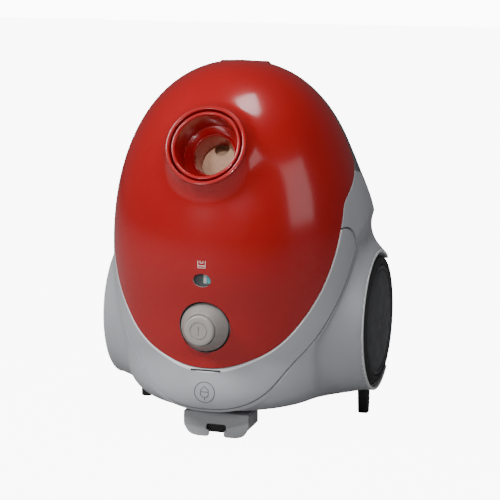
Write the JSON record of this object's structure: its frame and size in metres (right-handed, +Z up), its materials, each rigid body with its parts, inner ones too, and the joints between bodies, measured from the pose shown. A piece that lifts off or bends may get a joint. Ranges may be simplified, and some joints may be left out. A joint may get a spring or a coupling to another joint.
{
  "type": "canister vacuum cleaner",
  "caption": "Compact bagged canister vacuum cleaner standing on its tail: glossy domed lid with hose inlet, knob and window, grey body, rewind pedal band, side wheels.",
  "frame": {"origin": "on the floor under the middle of the cleaner's box, as it stands on its tail", "axes": "+Z up towards the nose, -Y the way the lid faces, +Y the underside with the wheels, +X the cleaner's right-hand wheel as seen from the lid's side"},
  "size_m": [0.2992, 0.258, 0.3913],
  "materials": {
    "lid_red": "glossy",
    "body_grey": "satin",
    "pedal_grey": "satin",
    "seal_rubber": "matte",
    "window_clear": "glossy",
    "inner_black": "satin",
    "indicator_teal": "glossy",
    "knob_grey": "satin",
    "button_grey": "satin",
    "dark_plastic": "satin",
    "hub_plastic": "satin",
    "foot_black": "satin",
    "tyre_black": "matte",
    "deck_grey": "matte",
    "bag_paper": "matte",
    "plate_card": "matte",
    "filter_foam": "matte",
    "filter_white": "matte",
    "rotor_metal": "satin",
    "steel": "brushed",
    "board_green": "satin"
  },
  "bodies": {
    "chassis": {"bag_flap": "bag_paper", "bag_holder": "deck_grey", "bag_plate": "plate_card", "castor_plate": "body_grey", "control_board": "board_green", "cord_bush": "seal_rubber", "dust_bag": "bag_paper", "exhaust_filter": "filter_white", "fender_left": "body_grey", "fender_right": "body_grey", "filter_frame": "dark_plastic", "foot_left": "foot_black", "foot_right": "foot_black", "hinge_pin": "steel", "latch_pin": "steel", "motor_case": "steel", "motor_deck": "deck_grey", "motor_filter": "filter_foam", "motor_mount": "seal_rubber", "motor_seal": "seal_rubber", "parking_tab": "dark_plastic", "pedal_pin_left": "steel", "pedal_pin_right": "steel", "power_switch": "inner_black", "reel_axle": "steel", "tab_screw_left": "steel", "tab_screw_right": "steel", "tub": "body_grey", "wheel_axle_left": "steel", "wheel_axle_right": "steel"},
    "lid": {"lid": "lid_red", "hose_socket": "lid_red", "socket_seal": "seal_rubber", "window_lens": "window_clear", "indicator_housing": "inner_black", "lid_seal": "seal_rubber"},
    "indicator": {"indicator_flag": "indicator_teal"},
    "knob": {"power_knob": "knob_grey", "knob_shaft": "inner_black"},
    "button": {"power_button": "button_grey"},
    "latch": {"latch_lever": "lid_red"},
    "pedal": {"rewind_pedal": "pedal_grey"},
    "wheel_right": {"tyre_right": "tyre_black", "wheel_hub_right": "hub_plastic"},
    "wheel_left": {"tyre_left": "tyre_black", "wheel_hub_left": "hub_plastic"},
    "castor": {"castor_fork": "body_grey", "castor_pin": "steel"},
    "castor_roller": {"castor_wheel": "tyre_black"},
    "rotor": {"motor_rotor": "rotor_metal"},
    "reel": {"cord_reel": "inner_black"},
    "brake": {"brake_lever": "dark_plastic"},
    "exhaust_cover": {"exhaust_door": "body_grey"}
  },
  "joints": [
    {"name": "lid_hinge", "type": "hinge", "parent": "chassis", "child": "lid", "pos_m": [0, -0.1058, 0.0814], "axis": [1, 0, 0], "range_deg": [0, 70]},
    {"name": "indicator_slide", "type": "slide", "parent": "lid", "child": "indicator", "axis": [-1, 0, 0], "range_m": [0, 0.0068], "stiffness_N_per_m": 20},
    {"name": "knob_turn", "type": "hinge", "parent": "chassis", "child": "knob", "pos_m": [0, -0.107, 0.128], "axis": [0, -1, 0], "range_deg": [-130, 130]},
    {"name": "button_press", "type": "slide", "parent": "knob", "child": "button", "axis": [0, 1, 0], "range_m": [0, 0.003], "stiffness_N_per_m": 500},
    {"name": "latch_lift", "type": "hinge", "parent": "chassis", "child": "latch", "pos_m": [0, 0.06, 0.3695], "axis": [-1, 0, 0], "range_deg": [0, 8], "stiffness_Nm_per_rad": 0.6},
    {"name": "pedal_press", "type": "hinge", "parent": "chassis", "child": "pedal", "pos_m": [0, -0.015, 0.21], "axis": [1, 0, 0], "range_deg": [0, 1.3], "stiffness_Nm_per_rad": 40, "springref_deg": -0.57},
    {"name": "wheel_right_spin", "type": "hinge", "parent": "chassis", "child": "wheel_right", "pos_m": [0.13, 0.058, 0.109], "axis": [1, 0, 0], "continuous": true},
    {"name": "wheel_left_spin", "type": "hinge", "parent": "chassis", "child": "wheel_left", "pos_m": [-0.13, 0.058, 0.109], "axis": [1, 0, 0], "continuous": true},
    {"name": "castor_swivel", "type": "hinge", "parent": "chassis", "child": "castor", "pos_m": [0, 0.1, 0.322], "axis": [0, 1, 0], "continuous": true},
    {"name": "castor_roll", "type": "hinge", "parent": "castor", "child": "castor_roller", "pos_m": [0, 0.119, 0.316], "axis": [1, 0, 0], "continuous": true},
    {"name": "rotor_spin", "type": "hinge", "parent": "chassis", "child": "rotor", "pos_m": [-0.052, 0.004, 0.1], "axis": [0, 0, 1], "continuous": true},
    {"name": "reel_spin", "type": "hinge", "parent": "chassis", "child": "reel", "pos_m": [0.05, 0.012, 0.098], "axis": [1, 0, 0], "continuous": true},
    {"name": "brake_swing", "type": "hinge", "parent": "chassis", "child": "brake", "pos_m": [0.078, -0.0605, 0.066], "axis": [1, 0, 0], "range_deg": [0, 2.99]},
    {"name": "exhaust_cover_hinge", "type": "hinge", "parent": "chassis", "child": "exhaust_cover", "pos_m": [0, 0.1109, 0.2595], "axis": [1, 0, 0], "range_deg": [0, 80]}
  ],
  "couplings": [
    {"joint": "brake_swing", "follows": "pedal_press", "ratio": 2.3}
  ]
}
